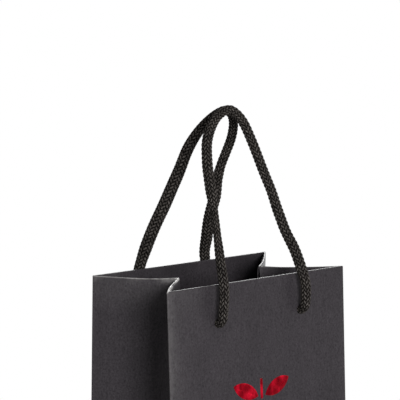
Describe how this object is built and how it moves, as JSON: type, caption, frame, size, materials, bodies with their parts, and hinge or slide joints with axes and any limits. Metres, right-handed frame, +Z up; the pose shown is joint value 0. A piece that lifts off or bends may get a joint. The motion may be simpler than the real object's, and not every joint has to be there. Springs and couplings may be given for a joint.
{
  "type": "wine gift bag",
  "caption": "Tall dark paper gift bag for a wine bottle, with inward-folding gussets, a turned-in rim, braided rope handles, a folded base with a loose card and a red foil emblem.",
  "frame": {"origin": "middle of the base's underside", "axes": "+Z up, +X to the right along the front panel, +Y from the front to the rear"},
  "size_m": [0.12, 0.09, 0.4473],
  "materials": {
    "paper": "uncoated charcoal paper, satin at a grazing angle",
    "card": "plain grey board",
    "rope": "black braided cord with a slight sheen",
    "foil": "red hot-stamped metallic foil"
  },
  "bodies": {
    "base": {"base_front_flap": "paper", "base_rear_flap": "paper", "base_left_flap": "paper", "base_right_flap": "paper"},
    "base_card": {"base_card": "card"},
    "front_panel": {"front_panel": "paper", "front_card": "card", "front_hem": "paper", "foil_emblem": "foil", "front_left_knot": "rope", "front_right_knot": "rope"},
    "rear_panel": {"rear_panel": "paper", "rear_card": "card", "rear_hem": "paper", "seam_tab": "paper", "rear_left_knot": "rope", "rear_right_knot": "rope"},
    "left_side": {"left_side_triangle": "paper"},
    "right_side": {"right_side_triangle": "paper"},
    "left_front_gusset": {"left_front_gusset": "paper", "left_front_gusset_hem": "paper"},
    "right_front_gusset": {"right_front_gusset": "paper", "right_front_gusset_hem": "paper"},
    "left_rear_gusset": {"left_rear_gusset": "paper", "left_rear_gusset_hem": "paper"},
    "right_rear_gusset": {"right_rear_gusset": "paper", "right_rear_gusset_hem": "paper"},
    "front_handle": {"front_handle_rope": "rope"},
    "rear_handle": {"rear_handle_rope": "rope"}
  },
  "joints": [
    {"name": "front_panel_tilt", "type": "hinge", "parent": "base", "child": "front_panel", "pos_m": [0, -0.0445, 0.0005], "axis": [1, 0, 0], "range_deg": [0, 1.67]},
    {"name": "rear_panel_tilt", "type": "hinge", "parent": "base", "child": "rear_panel", "pos_m": [0, 0.0445, 0.0005], "axis": [-1, 0, 0], "range_deg": [0, 1.67]},
    {"name": "left_side_tilt", "type": "hinge", "parent": "base", "child": "left_side", "pos_m": [-0.0595, 0, 0.0005], "axis": [0, -1, 0], "range_deg": [0, 2.61]},
    {"name": "right_side_tilt", "type": "hinge", "parent": "base", "child": "right_side", "pos_m": [0.0595, 0, 0.0005], "axis": [0, 1, 0], "range_deg": [0, 2.61]},
    {"name": "left_front_gusset_fold", "type": "hinge", "parent": "front_panel", "child": "left_front_gusset", "pos_m": [-0.0595, -0.0445, 0.0005], "axis": [0, 0.0367, 0.9993], "range_deg": [0, 25.22]},
    {"name": "right_front_gusset_fold", "type": "hinge", "parent": "front_panel", "child": "right_front_gusset", "pos_m": [0.0595, -0.0445, 0.0005], "axis": [0, -0.0367, -0.9993], "range_deg": [0, 25.22]},
    {"name": "left_rear_gusset_fold", "type": "hinge", "parent": "rear_panel", "child": "left_rear_gusset", "pos_m": [-0.0595, 0.0445, 0.0005], "axis": [0, 0.0367, -0.9993], "range_deg": [0, 25.22]},
    {"name": "right_rear_gusset_fold", "type": "hinge", "parent": "rear_panel", "child": "right_rear_gusset", "pos_m": [0.0595, 0.0445, 0.0005], "axis": [0, -0.0367, 0.9993], "range_deg": [0, 25.22]},
    {"name": "front_handle_swing", "type": "hinge", "parent": "front_panel", "child": "front_handle", "pos_m": [0, -0.03581, 0.34041], "axis": [1, 0, 0], "range_deg": [0, 160]},
    {"name": "rear_handle_swing", "type": "hinge", "parent": "rear_panel", "child": "rear_handle", "pos_m": [0, 0.03581, 0.34041], "axis": [-1, 0, 0], "range_deg": [0, 160]},
    {"name": "base_card_lift", "type": "slide", "parent": "base", "child": "base_card", "axis": [0, 0, 1], "range_m": [0, 0.015]}
  ],
  "couplings": [
    {"joint": "rear_panel_tilt", "follows": "front_panel_tilt", "ratio": 1},
    {"joint": "left_side_tilt", "follows": "front_panel_tilt", "ratio": 1.5601},
    {"joint": "right_side_tilt", "follows": "front_panel_tilt", "ratio": 1.5601},
    {"joint": "left_front_gusset_fold", "follows": "front_panel_tilt", "ratio": 15.059},
    {"joint": "right_front_gusset_fold", "follows": "front_panel_tilt", "ratio": 15.059},
    {"joint": "left_rear_gusset_fold", "follows": "front_panel_tilt", "ratio": 15.059},
    {"joint": "right_rear_gusset_fold", "follows": "front_panel_tilt", "ratio": 15.059}
  ]
}
